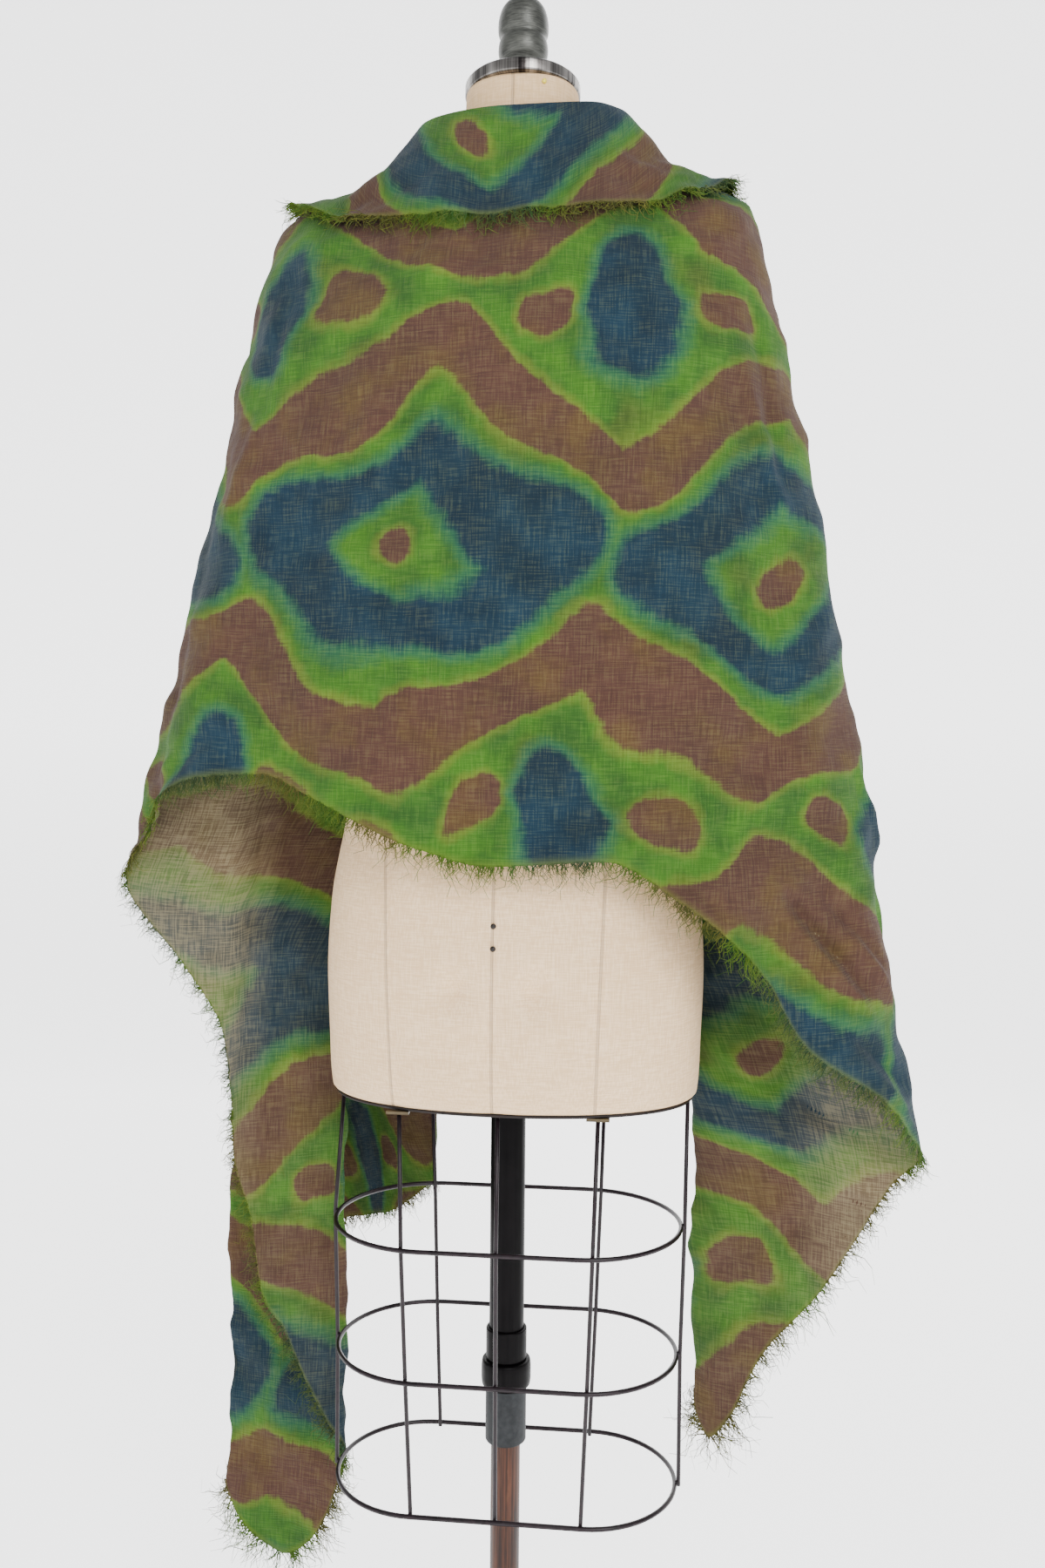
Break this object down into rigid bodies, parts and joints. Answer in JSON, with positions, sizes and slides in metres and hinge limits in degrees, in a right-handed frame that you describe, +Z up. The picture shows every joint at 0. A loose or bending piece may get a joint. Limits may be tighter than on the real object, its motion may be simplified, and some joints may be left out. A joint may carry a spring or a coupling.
{
  "type": "linen shawl on a limbless dress form and stand",
  "caption": "Wide rectangular gauze shawl with a turned-over frayed edge and hanging ends, draped on a limbless dress form with a wire skirt cage and a round-based stand.",
  "frame": {"origin": "centre of the base's underside, on the pole's axis", "axes": "+Z up along the pole, -Y towards the form's back, +X to the right of someone who looks at its back"},
  "size_m": [0.7341, 0.43, 1.7336],
  "materials": {
    "cloth": "matt crinkled linen gauze, fold-dyed in green, brown and blue",
    "collar": "matt linen gauze, turned over",
    "fray": "raw frayed linen edge",
    "linen": "plain cream linen cover",
    "rim": "dark edging",
    "steel": "polished plate",
    "finial": "cast, softly worn",
    "wire": "dark enamelled wire",
    "tube": "black satin enamel",
    "sleeve": "grey satin",
    "rod": "browned bare steel",
    "base": "black painted casting"
  },
  "bodies": {
    "stand": {"base_plate": "base", "base_hub": "base", "pole_rod": "rod"},
    "form": {"shawl_back": "cloth", "shawl_left_inner": "cloth", "shawl_left_end": "cloth", "shawl_left_front": "cloth", "shawl_right_inner": "cloth", "shawl_right_end": "cloth", "shawl_right_front": "cloth", "collar_back": "collar", "collar_left_front": "collar", "collar_right_front": "collar", "fray_back": "fray", "fray_left_inner": "fray", "fray_left_end": "fray", "fray_left_front": "fray", "fray_right_inner": "fray", "fray_right_end": "fray", "fray_right_front": "fray", "fray_collar_back": "fray", "fray_collar_left_front": "fray", "fray_collar_right_front": "fray", "form_body": "linen", "form_neck": "linen", "form_rim": "rim", "neck_band": "steel", "finial": "finial", "cage_tab_left": "steel", "cage_tab_right": "steel", "cage_ring_1": "wire", "cage_ring_2": "wire", "cage_ring_3": "wire", "upright_back_left": "wire", "upright_back_middle": "wire", "upright_back_right": "wire", "upright_front_left": "wire", "upright_front_middle": "wire", "upright_front_right": "wire", "upright_left": "wire", "upright_right": "wire", "pole_tube": "tube", "clamp_collar": "tube", "clamp_flange": "tube", "clamp_sleeve": "sleeve"}
  },
  "joints": [
    {"name": "height", "type": "slide", "parent": "stand", "child": "form", "axis": [0, 0, 1], "range_m": [-0.05, 0.2]}
  ]
}
